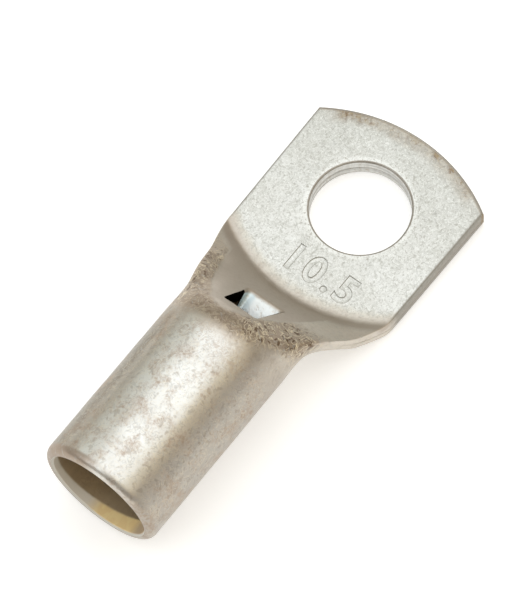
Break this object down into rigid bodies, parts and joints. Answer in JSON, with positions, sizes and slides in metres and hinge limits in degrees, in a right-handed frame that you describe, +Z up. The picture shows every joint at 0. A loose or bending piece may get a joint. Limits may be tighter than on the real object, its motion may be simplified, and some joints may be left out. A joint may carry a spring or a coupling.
{
  "type": "tubular cable lug",
  "caption": "Tubular copper cable lug with an open crimp barrel, a pressed slope with an inspection hole and a flat palm with a round stud hole.",
  "frame": {"origin": "centre of the stud hole on the contact face of the palm", "axes": "+X from the stud hole to the tip of the palm, the conductor enters from -X, +Z up and out of the contact face"},
  "size_m": [0.0525, 0.021, 0.0143],
  "materials": {
    "tinned_copper": "dull tin plating on copper, tarnished taupe brown on the barrel and slope"
  },
  "bodies": {
    "root": {"cable_lug": "tinned_copper"}
  },
  "joints": []
}
